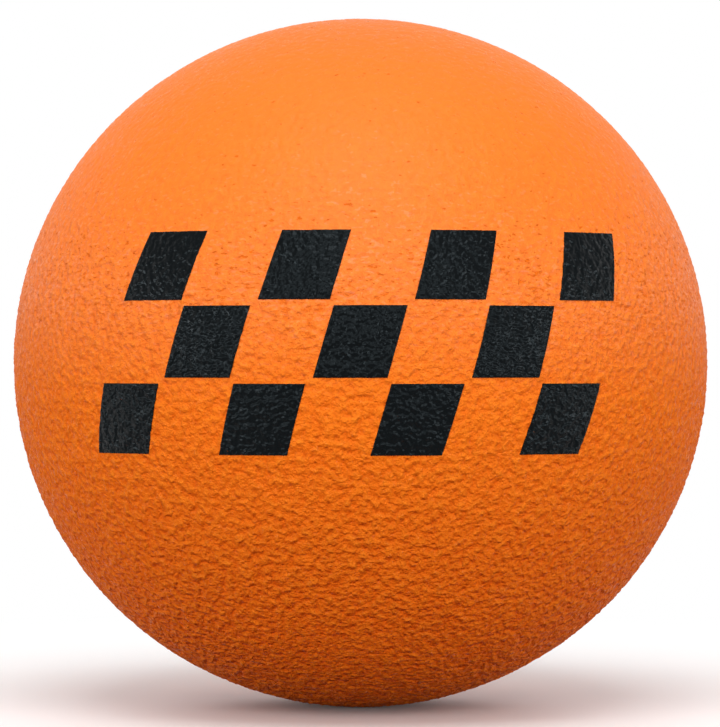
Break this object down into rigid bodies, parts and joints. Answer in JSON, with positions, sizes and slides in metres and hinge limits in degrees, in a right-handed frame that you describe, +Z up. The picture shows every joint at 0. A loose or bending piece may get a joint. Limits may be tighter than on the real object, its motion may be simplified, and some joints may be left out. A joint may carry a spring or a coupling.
{
  "type": "foam ball",
  "caption": "Round soft play ball: a foam core in a thin pebbled elastic skin with a printed chequer band, for throwing, catching and bouncing.",
  "frame": {"origin": "centre of the ball", "axes": "+Z up, with the ball resting on its lowest point; -Y is the printed front, and +X is to the right as the front is looked at"},
  "size_m": [0.178, 0.1783, 0.1766],
  "materials": {
    "foam": "matte",
    "skin": "satin",
    "ink": "satin"
  },
  "bodies": {
    "root": {"foam_core": "foam", "skin": "skin", "print_block_a1": "ink", "print_block_a3": "ink", "print_block_a5": "ink", "print_block_a7": "ink", "print_block_b2": "ink", "print_block_b4": "ink", "print_block_b6": "ink", "print_block_c1": "ink", "print_block_c3": "ink", "print_block_c5": "ink", "print_block_c7": "ink"}
  },
  "joints": []
}
